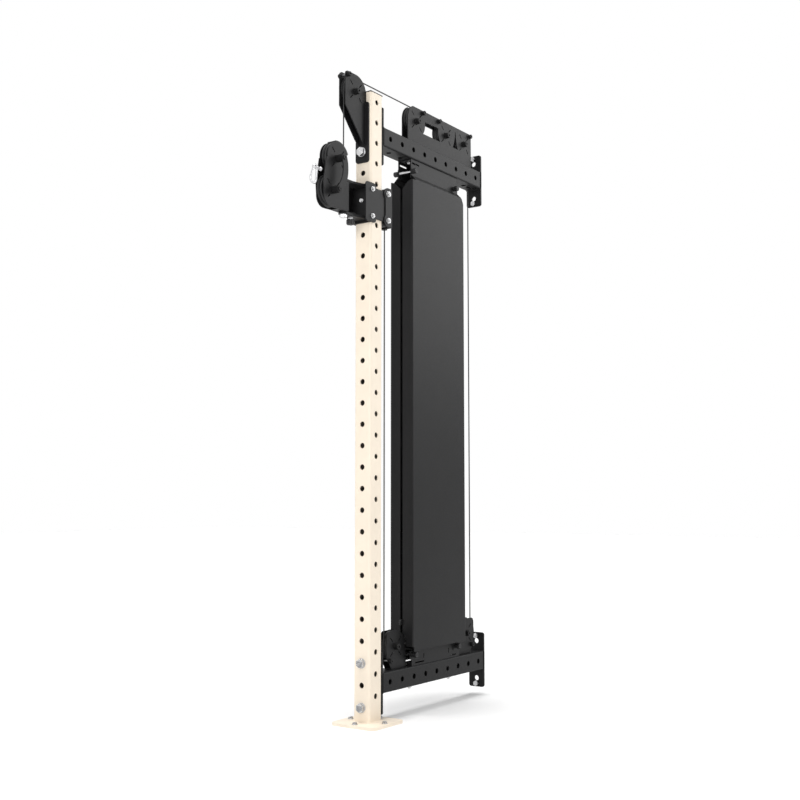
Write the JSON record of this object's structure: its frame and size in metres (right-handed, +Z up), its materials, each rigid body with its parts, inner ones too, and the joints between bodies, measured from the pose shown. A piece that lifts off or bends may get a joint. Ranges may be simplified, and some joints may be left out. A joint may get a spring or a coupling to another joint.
{
  "type": "wall pulley weight stack",
  "caption": "Wall-mounted cable pulley column with a sliding swivel pulley head, a covered selectorised weight stack and a snap hook.",
  "frame": {"origin": "centre of the upright tube on the floor, at the base plate's underside", "axes": "+Z up along the upright, +Y towards the wall, +X to the right seen from the user's side"},
  "size_m": [0.2, 1.1395, 2.426],
  "materials": {
    "cream": "satin powder coat",
    "black": "fine textured powder coat",
    "zinc": "bright zinc plate",
    "sheave": "moulded nylon",
    "chrome": "polished",
    "rubber": "matt",
    "blackp": "satin",
    "cable": "plastic coated wire rope",
    "iron": "baked enamel",
    "steel": "plain turned steel",
    "liner": "low friction nylon"
  },
  "bodies": {
    "frame": {"upright": "cream", "base_plate": "cream", "upright_cap": "blackp", "lower_crossmember": "black", "upper_crossmember": "black", "frame_bolts": "zinc", "front_pulley_bracket": "black", "rear_pulley_block": "black", "lower_front_block": "black", "lower_rear_block": "black", "block_bolts": "zinc", "pulley_axles": "steel", "cable_retainers": "black", "pulley_bearings": "zinc", "stack_top_bracket": "black", "stack_base_bracket": "black", "guide_rods": "chrome", "tie_rods": "zinc", "tie_knobs": "blackp", "stack_bumpers": "rubber", "right_cover": "black", "left_cover": "black", "cable_routing": "cable", "front_cable_run": "cable", "lift_cable_run": "cable", "stack_cable_runs": "cable", "resting_plates": "iron"},
    "front_pulley": {"front_pulley": "sheave"},
    "rear_pulley_1": {"rear_pulley_1": "sheave"},
    "rear_pulley_2": {"rear_pulley_2": "sheave"},
    "rear_pulley_3": {"rear_pulley_3": "sheave"},
    "low_front_pulley": {"low_front_pulley": "sheave"},
    "low_rear_pulley": {"low_rear_pulley": "sheave"},
    "trolley": {"trolley_frame": "black", "trolley_rear_bracket": "black", "trolley_liners": "liner", "trolley_bolts": "zinc", "plunger_housings": "zinc"},
    "upper_roller": {"upper_roller": "blackp"},
    "lower_roller": {"lower_roller": "blackp"},
    "lock_pin": {"lock_pin": "blackp"},
    "index_pin": {"index_pin": "blackp"},
    "head": {"head_plates": "black", "head_pivot": "black", "head_handle": "black", "cable_keeper": "black", "head_axles": "steel", "head_cable": "cable"},
    "upper_head_pulley": {"upper_head_pulley": "sheave"},
    "lower_head_pulley": {"lower_head_pulley": "sheave"},
    "handle_end": {"cable_end": "zinc"},
    "hook": {"carabiner": "zinc"},
    "hook_gate": {"carabiner_gate": "zinc"},
    "carriage": {"top_plate": "iron", "selector_stem": "steel", "lift_clevis": "black", "lift_cable_wrap": "cable", "lifted_plates": "iron"},
    "travelling_pulley": {"travelling_pulley": "sheave"},
    "selector_pin": {"selector_pin": "zinc"}
  },
  "joints": [
    {"name": "front_pulley_spin", "type": "hinge", "parent": "frame", "child": "front_pulley", "pos_m": [0, -0.104, 2.361], "axis": [1, 0, 0], "continuous": true},
    {"name": "rear_pulley_1_spin", "type": "hinge", "parent": "frame", "child": "rear_pulley_1", "pos_m": [0, 0.3065, 2.361], "axis": [1, 0, 0], "continuous": true},
    {"name": "rear_pulley_2_spin", "type": "hinge", "parent": "frame", "child": "rear_pulley_2", "pos_m": [0, 0.5285, 2.361], "axis": [1, 0, 0], "continuous": true},
    {"name": "rear_pulley_3_spin", "type": "hinge", "parent": "frame", "child": "rear_pulley_3", "pos_m": [0, 0.6715, 2.361], "axis": [1, 0, 0], "continuous": true},
    {"name": "low_front_pulley_spin", "type": "hinge", "parent": "frame", "child": "low_front_pulley", "pos_m": [0, 0.158, 0.265], "axis": [1, 0, 0], "continuous": true},
    {"name": "low_rear_pulley_spin", "type": "hinge", "parent": "frame", "child": "low_rear_pulley", "pos_m": [0, 0.6715, 0.265], "axis": [1, 0, 0], "continuous": true},
    {"name": "trolley_slide", "type": "slide", "parent": "frame", "child": "trolley", "axis": [0, 0, 1], "range_m": [-1.52, 0.08], "deforming": ["front_cable_run", "lift_cable_run"]},
    {"name": "upper_roller_spin", "type": "hinge", "parent": "trolley", "child": "upper_roller", "pos_m": [0, 0.0595, 1.9955], "axis": [1, 0, 0], "continuous": true},
    {"name": "lower_roller_spin", "type": "hinge", "parent": "trolley", "child": "lower_roller", "pos_m": [0, 0.0595, 1.8915], "axis": [1, 0, 0], "continuous": true},
    {"name": "lock_pin_travel", "type": "slide", "parent": "trolley", "child": "lock_pin", "axis": [1, 0, 0], "range_m": [0, 0.01]},
    {"name": "index_pin_travel", "type": "slide", "parent": "trolley", "child": "index_pin", "axis": [0, 0, 1], "range_m": [0, 0.0055]},
    {"name": "head_swivel", "type": "hinge", "parent": "trolley", "child": "head", "pos_m": [0, -0.1595, 1.9435], "axis": [0, 0, 1], "range_deg": [-90, 90]},
    {"name": "upper_head_pulley_spin", "type": "hinge", "parent": "head", "child": "upper_head_pulley", "pos_m": [0, -0.215, 2.072], "axis": [1, 0, 0], "continuous": true},
    {"name": "lower_head_pulley_spin", "type": "hinge", "parent": "head", "child": "lower_head_pulley", "pos_m": [0, -0.242, 1.948], "axis": [1, 0, 0], "continuous": true},
    {"name": "handle_pull", "type": "slide", "parent": "head", "child": "handle_end", "axis": [0, -1, 0], "range_m": [0, 2.6]},
    {"name": "hook_swing", "type": "hinge", "parent": "handle_end", "child": "hook", "pos_m": [0, -0.315, 2.0165], "axis": [1, 0, 0], "range_deg": [-10, 10]},
    {"name": "hook_gate_turn", "type": "hinge", "parent": "hook", "child": "hook_gate", "pos_m": [0, -0.34648, 1.98628], "axis": [1, 0, 0], "range_deg": [-28, 0], "stiffness_Nm_per_rad": 0.05, "springref_deg": 5.73},
    {"name": "stack_lift", "type": "slide", "parent": "frame", "child": "carriage", "axis": [0, 0, 1], "range_m": [0, 1.3], "deforming": ["stack_cable_runs"]},
    {"name": "travelling_pulley_spin", "type": "hinge", "parent": "carriage", "child": "travelling_pulley", "pos_m": [0, 0.4175, 0.767], "axis": [1, 0, 0], "continuous": true},
    {"name": "selector_pin_pull", "type": "slide", "parent": "carriage", "child": "selector_pin", "axis": [0, -1, 0], "range_m": [0, 0.08]}
  ],
  "couplings": [
    {"joint": "handle_pull", "follows": "stack_lift", "ratio": 2},
    {"joint": "upper_head_pulley_spin", "follows": "stack_lift", "rad_per_m": -36.036},
    {"joint": "front_pulley_spin", "follows": "stack_lift", "rad_per_m": 36.036},
    {"joint": "rear_pulley_1_spin", "follows": "stack_lift", "rad_per_m": 36.036},
    {"joint": "travelling_pulley_spin", "follows": "stack_lift", "rad_per_m": -18.018},
    {"joint": "rear_pulley_2_spin", "follows": "trolley_slide", "rad_per_m": -18.018},
    {"joint": "rear_pulley_3_spin", "follows": "trolley_slide", "rad_per_m": -18.018},
    {"joint": "low_rear_pulley_spin", "follows": "trolley_slide", "rad_per_m": -18.018},
    {"joint": "low_front_pulley_spin", "follows": "trolley_slide", "rad_per_m": -18.018},
    {"joint": "upper_roller_spin", "follows": "trolley_slide", "rad_per_m": 46.083},
    {"joint": "lower_roller_spin", "follows": "trolley_slide", "rad_per_m": 46.083}
  ]
}
